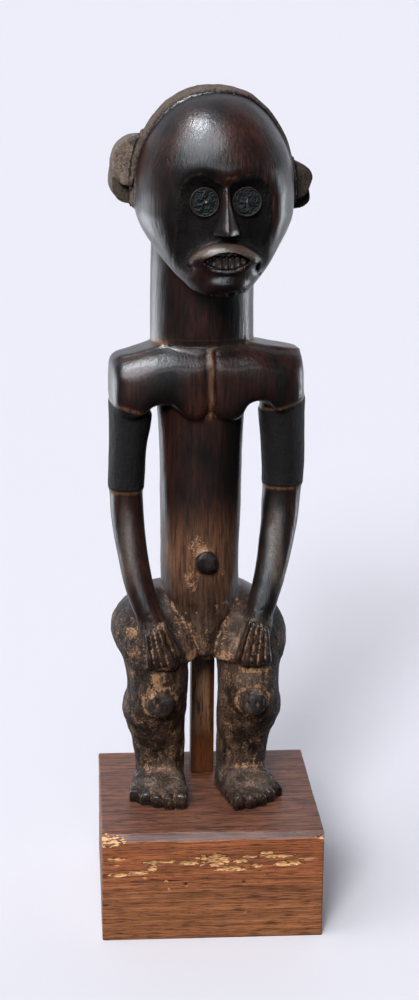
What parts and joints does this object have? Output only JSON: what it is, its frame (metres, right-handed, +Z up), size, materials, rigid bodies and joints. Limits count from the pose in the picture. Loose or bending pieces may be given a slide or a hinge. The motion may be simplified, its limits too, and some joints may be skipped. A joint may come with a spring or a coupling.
{
  "type": "reliquary guardian figure",
  "caption": "Carved wooden guardian figure with a large domed head, hands on its bent legs, held by a square post on a stained wooden block.",
  "frame": {"origin": "centre of the block's underside", "axes": "+Z up along the figure, -Y out of its front, +X to the viewer's right"},
  "size_m": [0.165, 0.1576, 0.6193],
  "materials": {
    "block_wood": "stained and waxed oak with worn, chipped paint",
    "post_wood": "plain sawn oak, oiled",
    "figure_wood": "dark oiled wood, polished on the head and body, dry and worn on the legs",
    "eye_resin": "crusty dark resin"
  },
  "bodies": {
    "root": {"base_block": "block_wood", "support_post": "post_wood", "figure": "figure_wood", "eye_disc_left": "eye_resin", "eye_disc_right": "eye_resin"}
  },
  "joints": []
}
